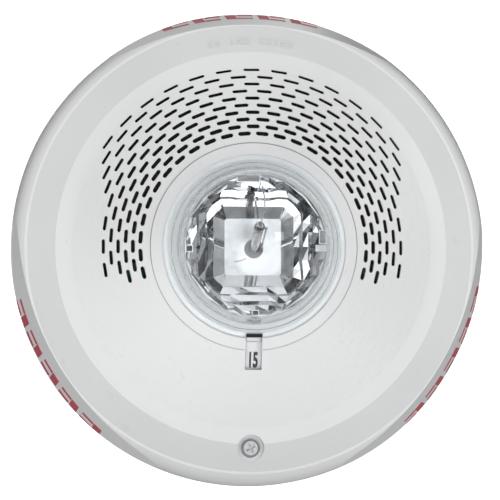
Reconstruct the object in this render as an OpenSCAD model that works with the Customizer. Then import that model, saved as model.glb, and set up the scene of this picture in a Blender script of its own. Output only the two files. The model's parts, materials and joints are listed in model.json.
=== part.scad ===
// Round ceiling or wall horn strobe on its mounting plate.
// Each module is drawn in wall coordinates: x to the right, y up, z out of the wall.
// on_wall() then turns it upright, so the front faces -Y and +Z is up.

/* [Cover] */
// Outer radius of the cover at its rim
cover_r = 86.5; // [86:0.5:88]
// Height of the rim's lower edge above the wall
rim_z = 2; // [2:0.1:2.2]
// Height where the upright rim meets the curved flank
rim_top_z = 8; // [7.5:0.5:8.5]
// Inner radius of the sloping shoulder
shoulder_r = 71.5; // [71:0.5:72]
// Height of the shoulder at its inner radius
shoulder_z = 18.6; // [18.6:0.1:19]
// Radius where the slotted field starts
field_r = 66.1; // [66:0.1:66.5]
// Height of the slotted field at its outer edge
field_z = 19.6; // [19.6:0.1:20]
// Slope of the slotted field, rise over run
field_slope = 0.3; // [0.29:0.01:0.31]
// Radius of the fine step between field and collar
collar_r = 37.75; // [37.5:0.25:38]
// Wall thickness of the cover
wall = 2.4; // [2.2:0.1:2.4]
// Radius of curvature of each flank pad
pad_r = 102; // [100:1:104]

/* [Slots] */
// Number of slots in one full row
slots_per_row = 40; // [36:2:40]
// Radius of the outermost row
outer_row_r = 64.8; // [64.6:0.1:65]
// Radius of the innermost row
inner_row_r = 41.2; // [41.2:0.1:42]
// Depth of the closed slots
blind_depth = 0.2; // [0.2:0.1:0.4]

/* [Lens] */
// Radius of the clear dome
dome_r = 28.2; // [28:0.1:28.4]
// Full height from the wall to the top of the dome
total_z = 64; // [62:1:66]
// Thickness of the clear plastic
lens_wall = 1.4; // [1.3:0.1:1.5]
// Outer radius of the lens flange
flange_r = 33.1; // [33:0.1:33.2]

/* [Joints] */
// Height of the hinge bar above the centre
pivot_y = 77.5; // [77.4:0.1:77.6]
// Distance of the hinge bar from the wall
pivot_z = 5; // [5:0.1:5.2]
// Radius of the hinge bar
bar_r = 1.2; // [1.1:0.1:1.2]
// Radial clearance of the turning pieces
running = 0.06; // [0.05:0.01:0.08]
// Angle between two candela settings
candela_step = 8; // [7:1:8]

/* [Mounting] */
// Spacing of the octagon box screws
octagon_spacing = 88.9; // [88.9:0.1:88.9]
// Spacing of the single gang box screws
gang_spacing = 83.3; // [83.3:0.1:83.3]
// Radius of the plate
plate_r = 79; // [78.5:0.5:79]
// Thickness of the plate
plate_t = 2.2; // [2:0.1:2.2]

/* [Hidden] */
$fn = 96;

// Cover
edge_r = 6.9;              // curved flank between the upright rim and the lip
edge_turn = [10, 68];
edge_steps = 9;
lip_w = 0.9;               // narrow flat lip between flank and shoulder
lip_rise = 0.15;
pad_angles = [0, 120, 240];
pad_tilt = 0.41;           // inward lean of a pad per unit of height
pad_bite = 0.1;            // how far a pad cuts in at the rim
collar_step = 0.3;
ledge_r = 33.5;            // recess that seats the lens flange
ledge_drop = 1.2;
opening_r = 29.2;          // hole round the reflector
window_w = 6.1;
window_high_r = 31.8;
window_low_r = 44.7;
well_y = -72.9;            // captive screw, below the centre
well_r = 4.9;
well_floor_z = 15.1;
well_underside_z = 13.1;
closing_screw_r = 73;      // four screws that join cover and rear shell
closing_angles = [45, 135, 225, 315];

// Slots
rows = 10;
row_pitch = (outer_row_r - inner_row_r) / (rows - 1);
slot_pitch_deg = 360 / slots_per_row;
slot_len = [6.0, 4.8];     // outer row, inner row
slot_w = [0.92, 1.52];
open_reach = [54, 58.5, 63, 67.5, 99, 94.5, 99, 103.5, 99, 103.5];
window_clear_deg = 8;      // closed slots stay this far from the candela window

// Levels behind the cover
shell_floor_z = 7.5;
shell_floor_t = 1.8;
shell_r = 68.5;
board_z = 11.2;
board_t = 1.6;
board_top = board_z + board_t;
board_r = 64.5;
terminal_x = [-13.5, -4.5, 4.5, 13.5];
socket_y = 26;
wire_screw_y = 19;
block_z = 5.8;
wire_hole_y = -8;
wire_hole_r = 17;

// Candela selector, a ring sector on a cone just under the cover
dial_in_r = 34.4;
dial_out_r = 45.8;
dial_gap = 0.5;
dial_t = 1.1;
dial_from = -54;           // rest position, degrees from straight down
dial_to = 6;
knob_angle = -50;
knob_ring_r = 40;
candela_positions = 7;
candela_travel = candela_step * (candela_positions - 1);

// Horn
horn_y = 47.5;
horn_r = 15.5;

// Captive screw
screw_r = 1.75;
screw_tip_z = 2;
screw_head_r = 3.4;
retainer_z = 8;

// Tone selector
tone_x = 26;
tone_y = -30;
tone_shaft_r = 3;

// Flash tube, leaning a little from the middle of the reflector
tube_base = [0.4, -0.7, 25.2];
tube_lean = [-18, -0.5, 0];
tube_len = 23;
tube_r = 1.65;

module on_wall() rotate([90, 0, 0]) children();
module at_angle(a, r) rotate([0, 0, a]) translate([0, r, 0]) children();
module down_angle(a, r) rotate([0, 0, a]) translate([0, -r, 0]) children();
module ring(r_out, r_in, h) difference() {
  cylinder(r = r_out, h = h);
  translate([0, 0, -1]) cylinder(r = r_in, h = h + 2);
}
module box(size, at) translate(at - [size[0] / 2, size[1] / 2, 0]) cube(size);

function between(a, b, t) = a + (b - a) * t;
function field_height(r) = field_z + (field_r - r) * field_slope;
function seat_height(r) = field_height(r) + collar_step - ledge_drop;
function arc_points(r, c, from, to, steps) =
  [for (i = [0:steps]) let(t = between(from, to, i / steps)) c + r * [cos(t), sin(t)]];

// Curved flank, narrow lip, then a cone up to the shoulder's inner edge
function shoulder(inset) = let(
    c = [cover_r, rim_top_z] - edge_r * [cos(edge_turn[0]), sin(edge_turn[0])],
    lip = c + edge_r * [cos(edge_turn[1]), sin(edge_turn[1])] + [-lip_w, lip_rise],
    slope = atan((shoulder_z - lip[1]) / (lip[0] - shoulder_r)),
    back = 0.8 * inset)
  concat(arc_points(edge_r - inset, c, edge_turn[0], edge_turn[1], edge_steps),
         [lip + [-back, back * tan(slope) - inset / cos(slope)],
          [shoulder_r, shoulder_z - inset / cos(slope)]]);

// Half outline of the cover's outside, from the axis to the rim; inset moves it inwards
function cover_outline(inset) = concat(
  [[0, rim_z - 1], [cover_r - inset, rim_z - 1]],
  shoulder(inset),
  [[field_r, field_z - inset], [collar_r, field_height(collar_r) - inset],
   [collar_r - 0.2, field_height(collar_r) + collar_step - inset],
   [opening_r - 5, field_height(opening_r - 5) + collar_step - inset],
   [0, field_height(opening_r - 5) + collar_step - inset]]);

// Solid inside one flank pad
module pad_cone(a, inset) {
  h = 30;
  low_r = pad_r - inset;
  at_angle(a, cover_r - pad_bite - pad_r)
    translate([0, 0, rim_z - 1])
      cylinder(r1 = low_r + pad_tilt, r2 = low_r - pad_tilt * (h - 1), h = h, $fn = 180);
}

module cover_solid(inset) intersection() {
  rotate_extrude($fn = 180) polygon(cover_outline(inset));
  intersection_for(a = pad_angles) pad_cone(a, inset);
}

function row_t(k) = k / (rows - 1);
function slot_shape(len, w) = let(s = (len - w) / 2, n = 3) concat(
  [for (i = [0:n]) [s + w / 2 * sin(180 * i / n), w / 2 * cos(180 * i / n)]],
  [for (i = [0:n]) [-s - w / 2 * sin(180 * i / n), -w / 2 * cos(180 * i / n)]]);

// Angle of slot i in row k, from the top, -180 to 180
function slot_angle(k, i) = (i + (k % 2) / 2) * slot_pitch_deg - 180;

function row_r(k) = outer_row_r - k * row_pitch;
function row_len(k) = between(slot_len[0], slot_len[1], row_t(k));
function row_w(k) = between(slot_w[0], slot_w[1], row_t(k));
function is_open(k, a) = abs(a) < open_reach[k] + 1;
function at_window(k, a) = 180 - abs(a) < window_clear_deg && row_r(k) < window_low_r + 2;

module open_slots() for (k = [0:rows - 1], i = [0:slots_per_row - 1]) {
  a = slot_angle(k, i);
  if (is_open(k, a)) rotate(-a) translate([0, row_r(k)]) polygon(slot_shape(row_len(k), row_w(k)));
}

// The other slots of each row are shallow recesses
module closed_slots() intersection() {
  rotate_extrude($fn = 180) polygon([
    [collar_r + 1, field_height(collar_r + 1) - blind_depth],
    [field_r - 0.3, field_height(field_r - 0.3) - blind_depth],
    [field_r - 0.3, total_z], [collar_r + 1, total_z]]);
  linear_extrude(total_z) for (k = [0:rows - 1], i = [0:slots_per_row - 1]) {
    a = slot_angle(k, i);
    if (!is_open(k, a) && !at_window(k, a))
      rotate(-a) translate([-row_len(k) / 2, row_r(k) - row_w(k) / 2]) square([row_len(k), row_w(k)]);
  }
}

module hinge_ribs() for (s = [-1, 1]) {
  translate([s * 13, pivot_y, pivot_z]) rotate([0, 90, 0]) cylinder(r = bar_r, h = 11, center = true);
  for (x = [8.5, 17.5]) difference() {
    box([2, 7, 8.5], [s * x, pivot_y + 1.7, 3.9]);
    box([3, 2, 2], [s * x, pivot_y - 2.4, 3.4]);
  }
}

module front_cover() on_wall() color("whitesmoke") {
  difference() {
    union() {
      difference() {
        cover_solid(0);
        difference() {
          cover_solid(wall);
          translate([0, well_y, well_underside_z]) cylinder(r = well_r + 1.6, h = 20);
          for (a = closing_angles) at_angle(a, closing_screw_r)
            translate([0, 0, shell_floor_z + shell_floor_t + 0.1]) cylinder(r = 3, h = 20);
        }
        translate([0, 0, rim_z - 2]) cylinder(r = cover_r + 5, h = 2);
      }
      intersection() {
        hinge_ribs();
        cover_solid(wall / 2);
      }
    }
    translate([0, 0, 10]) cylinder(r = opening_r, h = 30);
    rotate_extrude() polygon([[0, seat_height(0)], [ledge_r, seat_height(ledge_r)],
      [ledge_r, total_z], [0, total_z]]);
    box([window_w, window_low_r - window_high_r, 30], [0, -(window_low_r + window_high_r) / 2, 12]);
    translate([0, well_y, well_floor_z]) cylinder(r = well_r, h = 20);
    translate([0, well_y, 10]) cylinder(r = screw_r + 0.3, h = 20);
    for (a = closing_angles) at_angle(a, closing_screw_r)
      translate([0, 0, shell_floor_z]) cylinder(r = 1.3, h = 5.8);
    translate([0, 0, 12]) linear_extrude(30) open_slots();
    closed_slots();
  }
}

// Lens: a dome on a sloping flange that rests on the cover's seat, with a tab over the label
lens_gap = 0.05;
tab_gap = 0.4;
flange_z = seat_height(ledge_r) + lens_gap;
dome_z = total_z - dome_r;
module label_tab(w, t) {
  tilt = atan(field_slope);
  far_y = -window_low_r + 0.2;
  translate([0, far_y, field_height(-far_y) - 0.1]) rotate([tilt, 0, 0])
    translate([-w / 2, 0, -t]) cube([w, (window_low_r - window_high_r - 2 * tab_gap) / cos(tilt), t]);
}
module lens() on_wall() color("lightcyan", 0.5) difference() {
  union() {
    rotate_extrude() polygon([[0, seat_height(0) + lens_gap], [flange_r, seat_height(flange_r) + lens_gap],
      [flange_r, flange_z + 1.5], [dome_r + 1, flange_z + 5.6], [dome_r, flange_z + 6.2],
      [dome_r, dome_z], [0, dome_z]]);
    translate([0, 0, dome_z]) sphere(r = dome_r);
    label_tab(window_w - tab_gap, 1.4);
  }
  translate([0, 0, dome_z]) sphere(r = dome_r - lens_wall);
  translate([0, 0, flange_z + 1.6]) cylinder(r = dome_r - lens_wall, h = dome_z - flange_z - 1.6);
  cylinder(r = opening_r, h = flange_z + 2);
}

// Reflector: a square bowl in a round dish with a raised rim, on four legs
dish_r = 28.8;
dish_z = flange_z + 1.4;
rim_r = dome_r - lens_wall - 0.4;
rim_top = dish_z + 5.1;
bowl_floor_z = 24;
bowl_floor_w = 20.8;
bowl_top_w = 28.9;
bowl_top_z = 26.5;
module square_cone(w1, w2, z1, z2) translate([0, 0, z1])
  rotate([0, 0, 45]) cylinder(d1 = w1 * sqrt(2), d2 = w2 * sqrt(2), h = z2 - z1, $fn = 4);
module reflector() on_wall() color("silver") difference() {
  union() {
    translate([0, 0, bowl_floor_z - 1.4]) cylinder(r = dish_r, h = dish_z - bowl_floor_z + 1.4);
    translate([0, 0, bowl_floor_z]) cylinder(r = rim_r, h = rim_top - bowl_floor_z);
    for (a = [0:90:270]) rotate([0, 0, a + 45]) box([5, 1.6, bowl_floor_z - board_top - 1],
      [0, 22, board_top + 0.05]);
  }
  square_cone(bowl_floor_w, bowl_top_w + 0.1, bowl_floor_z, bowl_top_z + 0.1);
  translate([0, 0, bowl_top_z]) cylinder(r1 = bowl_top_w * 0.66, r2 = rim_r - 0.5, h = rim_top - bowl_top_z + 0.1);
  translate([tube_base[0], tube_base[1], 10]) cylinder(r = 3.45, h = 20);
}

module on_tube() translate(tube_base) rotate(tube_lean) children();
module flash_tube() on_wall() color("gainsboro", 0.6) on_tube() difference() {
  union() {
    cylinder(r = tube_r, h = tube_len, $fn = 48);
    translate([0, 0, tube_len]) sphere(r = tube_r, $fn = 48);
  }
  translate([0, 0, -1]) cylinder(r = tube_r - 0.5, h = tube_len - 1, $fn = 48);
}
module tube_electrodes() on_wall() color("dimgray") on_tube() {
  translate([0, 0, -2.5]) cylinder(r = 0.8, h = 7, $fn = 32);
  translate([0, 0, tube_len - 6]) cylinder(r = 0.8, h = 3.9, $fn = 32);
}
module tube_grommet() on_wall() color("darkgray") translate([tube_base[0], tube_base[1], 0])
  difference() {
    translate([0, 0, bowl_floor_z - 1.2]) cylinder(r = 3.4, h = 1.8, $fn = 48);
    translate([0, 0, bowl_floor_z - 2]) cylinder(r = 2.1, h = 4, $fn = 48);
  }
// Return lead beside the tube and the trigger wire up to the reflector's edge
module trigger_wire() on_wall() color("gray") on_tube() {
  translate([2.7, 0.2, 0]) cylinder(r = 0.35, h = tube_len - 2.6, $fn = 24);
  translate([1.9, 0.2, tube_len - 2.6]) rotate([0, 90, 0]) cylinder(r = 0.35, h = 1.1, $fn = 24);
}

// Dust mesh on a cone just under the slots
module grille_screen() on_wall() color("black") {
  top = field_height(field_r) - wall - 0.25;
  low = field_height(collar_r) - wall - 0.25;
  difference() {
    rotate_extrude($fn = 180) polygon([[collar_r + 1.6, low - 0.48], [field_r - 0.6, top],
      [field_r - 0.6, top - 0.35], [collar_r + 1.6, low - 0.83]]);
    linear_extrude(60) polygon([[0, 8], [100, -22], [100, -100], [-100, -100], [-100, -22]]);
  }
}

module horn_chamber() on_wall() color("black") translate([0, horn_y, board_top + 0.05])
  difference() {
    cylinder(r = horn_r, h = 3.6);
    translate([0, 0, 1]) cylinder(r = horn_r - 1.4, h = 4);
    translate([0, 0, -1]) cylinder(r = 1.5, h = 4);
  }
module piezo_disc() on_wall() color("goldenrod") translate([0, horn_y, board_top + 1.9])
  cylinder(r = horn_r - 1.5, h = 0.4);
module horn_cap() on_wall() color("black") translate([0, horn_y, board_top + 3.7]) difference() {
  cylinder(r = horn_r - 0.6, h = 0.8);
  translate([0, 0, -1]) cylinder(r = 4, h = 3);
}
module horn_leads() on_wall() color("red") for (s = [-1, 1])
  translate([s * 9, socket_y + 1, board_top + 0.7]) rotate([-90, 0, 0])
    cylinder(r = 0.5, h = 7.5, $fn = 24);

// Arc-shaped slot swept by the candela knob's post, with play at both ends
module arc_slot(w, h) {
  play = asin(w / 2 / knob_ring_r);
  rotate([0, 0, knob_angle - play - 90]) rotate_extrude(angle = candela_travel + 2 * play)
    translate([knob_ring_r - w / 2, 0]) square([w, h]);
}
post_r = 2;

board_posts = [35, 145, 215, 325];
board_post_r = 58;
module main_board() on_wall() color("seagreen") difference() {
  translate([0, 0, board_z]) cylinder(r = board_r, h = board_t);
  translate([0, 0, board_z - 1]) arc_slot(2 * post_r + 1.4, board_t + 2);
  box([11.4, 28.6, 6], [-46, 8, board_z - 1]);
  for (a = board_posts) at_angle(a, board_post_r)
    translate([0, 0, board_z - 1]) cylinder(r = 1.5, h = 4);
  for (x = terminal_x) box([2.2, 1.8, 6], [x, socket_y, board_z - 1]);
  translate([tone_x, tone_y, board_z - 1]) cylinder(r = tone_shaft_r + 0.4, h = 4);
}
module board_screws() on_wall() color("silver") for (a = board_posts) at_angle(a, board_post_r) {
  translate([0, 0, shell_floor_z + 0.6]) cylinder(r = 1.25, h = board_top - shell_floor_z - 0.5, $fn = 32);
  difference() {
    translate([0, 0, board_top + 0.05]) cylinder(r = 2.6, h = 1.7, $fn = 32);
    box([3.2, 0.7, 2], [0, 0, board_top + 0.9]);
    box([0.7, 3.2, 2], [0, 0, board_top + 0.9]);
  }
}
// Chips, resistors and small capacitors: width, depth, height, x, y
chips = [[10, 8, 1.6, 40, 22], [6, 5, 1.6, 28, 34], [8, 6, 2.2, -32, 30], [5, 4, 1.4, -26, 42],
  [6, 3, 1.2, 52, -14], [4, 6, 2, 14, -52], [4, 2, 0.8, 22, -52], [4, 2, 0.8, 22, -56],
  [4, 2, 0.8, 44, 34], [4, 2, 0.8, -40, 38], [7, 5, 3, -8, -54], [5, 5, 2.4, 40, -36]];
module board_components() on_wall() color("dimgray") {
  for (c = chips) box([c[0], c[1], c[2]], [c[3], c[4], board_top + 0.05]);
  for (x = [-21, 21]) translate([x, 24, board_top + 0.05]) cylinder(r = 3, h = 6, $fn = 48);
}
module flash_capacitor() on_wall() color("midnightblue") translate([-46, -5.5, 14.6])
  rotate([-90, 0, 0]) cylinder(r = 5.2, h = 27);
module trigger_coil() on_wall() color("black") translate([-4.5, -15, board_top + 4.1])
  rotate([0, 90, 0]) cylinder(r = 4, h = 9, $fn = 48);
module inductor_core() on_wall() color("dimgray") translate([46, 2, board_top + 0.05]) {
  cylinder(r = 7.5, h = 1.2, $fn = 64);
  cylinder(r = 3.5, h = 6.4, $fn = 64);
  translate([0, 0, 5.2]) cylinder(r = 7.5, h = 1.2, $fn = 64);
}
module inductor_winding() on_wall() color("peru") translate([46, 2, board_top + 1.35])
  ring(6.8, 3.6, 3.8);
module candela_contacts() on_wall() color("gold") for (i = [0:candela_positions - 1])
  down_angle(knob_angle + i * candela_step, knob_ring_r + 6.2)
    box([1.8, 3.6, 0.15], [0, 0, board_top + 0.02]);
module tone_switch() on_wall() color("dimgray") difference() {
  box([13, 13, 5], [tone_x, tone_y, board_top + 0.05]);
  translate([tone_x, tone_y, board_top - 1]) cylinder(r = 1.6, h = 8, $fn = 32);
}

module rear_shell() on_wall() color("white") difference() {
  union() {
    translate([0, 0, shell_floor_z]) cylinder(r = shell_r, h = shell_floor_t);
    translate([0, 0, shell_floor_z]) ring(shell_r, shell_r - 1.8, 8.6);
    for (a = board_posts) at_angle(a, board_post_r)
      translate([0, 0, shell_floor_z]) cylinder(r = 3, h = board_z - shell_floor_z - 0.02);
    for (a = closing_angles) at_angle(a, closing_screw_r)
      translate([0, 0, shell_floor_z]) cylinder(r = 3.6, h = shell_floor_t);
    for (a = closing_angles) at_angle(a, (closing_screw_r + shell_r - 1) / 2)
      box([7.2, closing_screw_r - shell_r + 1, shell_floor_t], [0, 0, shell_floor_z]);
  }
  for (a = board_posts) at_angle(a, board_post_r)
    translate([0, 0, shell_floor_z + 0.5]) cylinder(r = 1.3, h = 6);
  for (a = closing_angles) at_angle(a, closing_screw_r)
    translate([0, 0, shell_floor_z - 1]) cylinder(r = 1.5, h = 5);
  translate([0, 0, shell_floor_z - 1]) arc_slot(2 * post_r + 1.2, 4);
  box([36, 6, 5], [0, socket_y, shell_floor_z - 1]);
  box([17, 8, 8], [0, -shell_r, well_underside_z - 0.6]);
  translate([tone_x, tone_y, shell_floor_z - 1]) cylinder(r = tone_shaft_r + running, h = 5);
}
module rear_shell_screws() on_wall() color("silver")
  for (a = closing_angles) at_angle(a, closing_screw_r) {
    translate([0, 0, shell_floor_z - 0.3]) cylinder(r = 1.25, h = 5.8, $fn = 32);
    difference() {
      translate([0, 0, shell_floor_z - 1.6]) cylinder(r = 2.7, h = 1.55, $fn = 48);
      box([3.4, 0.7, 1], [0, 0, shell_floor_z - 1.9]);
      box([0.7, 3.4, 1], [0, 0, shell_floor_z - 1.9]);
    }
  }
module pin_block() on_wall() color("ivory") difference() {
  box([35, 5.4, board_z - shell_floor_z - 0.1], [0, socket_y, shell_floor_z]);
  for (x = terminal_x) box([1.5, 0.9, 6], [x, socket_y, shell_floor_z - 1]);
}
module contact_pins() on_wall() color("gold") for (x = terminal_x)
  box([1.4, 0.8, board_top + 1 - 3.4], [x, socket_y, 3.4]);

// Candela selector: label carrier, arm with post, rear knob and wiper
module cone_sector(r_in, r_out, gap, t, from, to) {
  up = field_height(0) - wall * sqrt(1 + pow(field_slope, 2)) - gap;
  rotate([0, 0, from - 90]) rotate_extrude(angle = to - from, $fn = 180)
    polygon([[r_in, up - r_in * field_slope], [r_out, up - r_out * field_slope],
             [r_out, up - r_out * field_slope - t], [r_in, up - r_in * field_slope - t]]);
}
module candela_dial() on_wall() color("lightgray") {
  cone_sector(dial_in_r, dial_out_r, dial_gap, dial_t, dial_from, dial_to);
  down_angle(knob_angle, knob_ring_r) translate([0, 0, shell_floor_z - 0.9])
    cylinder(r = post_r, h = 17.1, $fn = 48);
}
module candela_knob() on_wall() color("orange") down_angle(knob_angle, knob_ring_r)
  translate([0, 0, shell_floor_z - 2.6]) {
    cylinder(r = 3.6, h = 1.65, $fn = 48);
    box([2.2, 11, 1.65], [0, 0, 0]);
  }
module candela_wiper() on_wall() color("gold") down_angle(knob_angle, knob_ring_r)
  translate([0, 0, board_top + 0.35]) difference() {
    union() {
      cylinder(r = post_r + 1, h = 0.3, $fn = 48);
      box([1.6, 7, 0.3], [0, -4.6, 0]);
    }
    translate([0, 0, -1]) cylinder(r = post_r + 0.02, h = 3, $fn = 48);
  }

module tone_dial() on_wall() color("orange") translate([tone_x, tone_y, 0]) difference() {
  union() {
    translate([0, 0, shell_floor_z - 0.5]) cylinder(r = tone_shaft_r, h = board_top - shell_floor_z + 0.3);
    translate([0, 0, shell_floor_z - 2]) cylinder(r = 6, h = 1.8);
    for (a = [0:24:336]) rotate([0, 0, a]) box([0.8, 0.9, 1.8], [0, 6, shell_floor_z - 2]);
  }
  box([1.4, 9, 1], [0, 0, shell_floor_z - 2.4]);
}

// Captive screw and the ring that keeps it in the cover
module screw_retainer() on_wall() color("dimgray") translate([0, well_y, retainer_z])
  ring(3.2, screw_r + running, 0.8);
module captive_screw() on_wall() color("silver") translate([0, well_y, 0]) difference() {
  union() {
    translate([0, 0, screw_tip_z]) cylinder(r = screw_r, h = well_floor_z - screw_tip_z + 0.2, $fn = 64);
    translate([0, 0, well_floor_z + 0.1]) cylinder(r = screw_head_r, h = 1.5, $fn = 64);
    translate([0, 0, well_floor_z + 1.6]) cylinder(r1 = screw_head_r, r2 = screw_head_r - 0.8, h = 0.7, $fn = 64);
  }
  rotate([0, 0, 25]) for (size = [[3.4, 0.8, 3], [0.8, 3.4, 3]]) box(size, [0, 0, well_floor_z + 1.1]);
  for (i = [0:6]) translate([0, 0, screw_tip_z + 0.5 + i * 0.6]) ring(screw_r + 1, screw_r - 0.25, 0.25);
}

// Mounting plate: hooks at the top, screw boss at the bottom, box screw slots, wire entry
hook_x = 13;
module box_slot(len, r) {
  box([len - 2 * r, 2 * r, 8], [0, 0, -3]);
  for (s = [-1, 1]) translate([s * (len / 2 - r), 0, -3]) cylinder(r = r, h = 8, $fn = 48);
}
module hooks() for (s = [-1, 1]) translate([s * hook_x, 0, 0]) {
  difference() {
    union() {
      translate([0, pivot_y, pivot_z]) rotate([0, 90, 0])
        cylinder(r = 2.5, h = 5, center = true, $fn = 64);
      box([5, 5.6, pivot_z + 1.4], [0, pivot_y - 3.6, 0]);
    }
    translate([0, pivot_y, pivot_z]) rotate([0, 90, 0])
      cylinder(r = bar_r + 0.08, h = 8, center = true, $fn = 64);
    box([8, 5.8, 2 * bar_r + 0.16], [0, pivot_y + 2.9, pivot_z - bar_r - 0.08]);
  }
}
module mounting_plate() on_wall() color("white") difference() {
  union() {
    cylinder(r = plate_r, h = plate_t);
    difference() {
      ring(plate_r, plate_r - 2, 5);
      box([60, 20, 8], [0, plate_r, plate_t]);
      box([14, 14, 8], [0, -plate_r, plate_t]);
    }
    translate([0, wire_hole_y, 0]) ring(wire_hole_r + 2, wire_hole_r, 4.2);
    for (a = [30:60:330]) rotate([0, 0, a]) box([1.6, 22, 4], [0, 62, 0]);
    translate([0, well_y, 0]) cylinder(r = 4.8, h = 6);
    hooks();
  }
  translate([0, wire_hole_y, -1]) cylinder(r = wire_hole_r, h = 8);
  translate([0, well_y, 1]) cylinder(r = 3.6, h = 8);
  for (s = [-1, 1]) {
    translate([s * octagon_spacing / 2, 0, 0]) box_slot(11, 2.2);
    translate([0, s * gang_spacing / 2, 0]) rotate([0, 0, 90]) box_slot(9, 2);
  }
}
module screw_insert() on_wall() color("goldenrod") translate([0, well_y, 1.1])
  ring(3.55, screw_r + 0.3, 4.9);
module terminal_block() on_wall() color("dimgray") difference() {
  box([40, 15.4, block_z - plate_t - 0.05], [0, 22.2, plate_t + 0.05]);
  for (x = terminal_x) {
    box([3.4, 3.6, 6], [x, socket_y, plate_t - 0.5]);
    translate([x, wire_screw_y, plate_t + 0.6]) cylinder(r = 1.5, h = 6, $fn = 32);
    box([6.4, 4.4, 3], [x, 15.5, plate_t + 1.4]);
  }
}
module contact_sockets() on_wall() color("gold") for (x = terminal_x) difference() {
  box([3.2, 3.4, 3], [x, socket_y, plate_t + 0.2]);
  box([2.4, 2.2, 5], [x, socket_y, plate_t + 0.6]);
}
module terminal_screws() on_wall() color("silver") for (x = terminal_x)
  translate([x, wire_screw_y, 0]) difference() {
    union() {
      translate([0, 0, plate_t + 1]) cylinder(r = 1.4, h = block_z - plate_t - 0.4, $fn = 32);
      translate([0, 0, block_z + 0.45]) cylinder(r = 2.5, h = 0.95, $fn = 48);
    }
    box([4, 0.7, 2], [0, 0, block_z + 0.9]);
  }
module clamp_plates() on_wall() color("silver") for (x = terminal_x) difference() {
  box([6, 5.6, 0.35], [x, wire_screw_y, block_z + 0.05]);
  translate([x, wire_screw_y, block_z - 1]) cylinder(r = 1.45, h = 3, $fn = 32);
}
module shorting_spring() on_wall() color("goldenrod")
  box([12, 1.2, 0.4], [0, socket_y + 2.9, block_z + 0.02]);

mounting_plate();
terminal_block();
terminal_screws();
clamp_plates();
contact_sockets();
shorting_spring();
screw_insert();
front_cover();
lens();
reflector();
flash_tube();
tube_electrodes();
trigger_wire();
tube_grommet();
grille_screen();
horn_chamber();
piezo_disc();
horn_cap();
horn_leads();
main_board();
board_components();
flash_capacitor();
trigger_coil();
inductor_core();
inductor_winding();
candela_contacts();
tone_switch();
rear_shell();
rear_shell_screws();
board_screws();
pin_block();
contact_pins();
candela_dial();
candela_knob();
candela_wiper();
tone_dial();
screw_retainer();
captive_screw();
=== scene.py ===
import json
import math

import bmesh
import bpy
import numpy as np
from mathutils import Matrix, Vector


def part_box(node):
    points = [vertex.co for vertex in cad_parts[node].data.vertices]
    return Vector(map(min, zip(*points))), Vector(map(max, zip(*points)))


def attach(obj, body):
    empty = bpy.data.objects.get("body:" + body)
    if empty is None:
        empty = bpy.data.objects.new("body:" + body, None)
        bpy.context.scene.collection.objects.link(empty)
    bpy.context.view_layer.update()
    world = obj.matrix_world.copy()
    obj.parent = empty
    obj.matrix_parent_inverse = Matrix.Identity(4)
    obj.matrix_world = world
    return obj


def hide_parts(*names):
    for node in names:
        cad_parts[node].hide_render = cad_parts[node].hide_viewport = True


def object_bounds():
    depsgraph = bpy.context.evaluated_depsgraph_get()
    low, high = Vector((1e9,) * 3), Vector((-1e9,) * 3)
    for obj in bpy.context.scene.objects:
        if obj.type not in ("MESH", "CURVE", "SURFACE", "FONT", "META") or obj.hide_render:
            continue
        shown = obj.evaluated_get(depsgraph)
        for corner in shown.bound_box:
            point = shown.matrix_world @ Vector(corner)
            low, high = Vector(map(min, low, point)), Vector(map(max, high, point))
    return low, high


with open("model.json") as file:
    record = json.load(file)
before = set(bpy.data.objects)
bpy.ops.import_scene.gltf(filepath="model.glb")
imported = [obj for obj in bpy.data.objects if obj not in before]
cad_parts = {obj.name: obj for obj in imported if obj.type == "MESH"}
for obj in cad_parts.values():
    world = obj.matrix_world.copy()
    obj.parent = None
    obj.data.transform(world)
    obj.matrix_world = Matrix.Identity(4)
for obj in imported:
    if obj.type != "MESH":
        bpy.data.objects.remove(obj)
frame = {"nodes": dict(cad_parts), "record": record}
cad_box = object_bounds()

MM = 0.001
TURN_STEPS = 144

# Driving sizes, in millimetres, as the CAD model has them
COVER_R = (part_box("front_cover")[1].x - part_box("front_cover")[0].x) / 2 / MM
RIM_Z = 2.0
SHOULDER_R, SHOULDER_Z, LIP_R, LIP_Z = 71.5, 18.6, 81.39, 13.35
FIELD_R, FIELD_Z, FIELD_SLOPE = 66.1, 19.6, 0.3
PAD_R, PAD_TILT, PAD_BITE = 102.0, 0.41, 0.1
PAD_ANGLES = (0, 120, 240)
FLANGE_R, FLANGE_Z, SEAT_DROP = 33.1, 28.53, 0.85
DOME_R, TOTAL_Z, LENS_WALL = 28.2, 64.0, 1.4
OPENING_R = 29.2
WINDOW_W, WINDOW_LOW_R = 6.1, 44.7
BOWL_FLOOR_Z, BOWL_FLOOR_W = 24.0, 20.8
BOWL_TOP_Z, BOWL_TOP_W = 26.5, 28.9
FLOOR_DISH, FLOOR_HOLE_R = 0.5, 3.45
DISH_R, RIM_R, RIM_TOP = 28.8, 26.4, 35.03
BOWL_BACK_Z, RIM_INNER_Z = BOWL_FLOOR_Z - 1.2, RIM_TOP - 0.35
TUBE_BASE = Vector((0.4, -0.7, 25.2))
TUBE_TIP = TUBE_BASE + Vector((-0.2, 7.1, 21.9))
DIAL_TOP_Z, DIAL_SLOPE = 36.42, 0.3
CANDELA_NUMBERS, CANDELA_STEP = (15, 30, 75, 95, 110, 150, 185), 8.0
DIGIT_SIZE, DIGIT_BOLD, DIGIT_BASE_R = 7.4, 0.32, 43.4
TWO_DIGIT_WIDTH, THREE_DIGIT_WIDTH = 0.52, 0.36
# Radius of the painted shade line at the collar's step
COLLAR_STEP_SHADE_R = 37.75


def wall(x, y, z):
    """A point x right, y up and z out of the wall, in mm, as a row-frame point in metres."""
    return Vector((x, -z, y)) * MM


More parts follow.
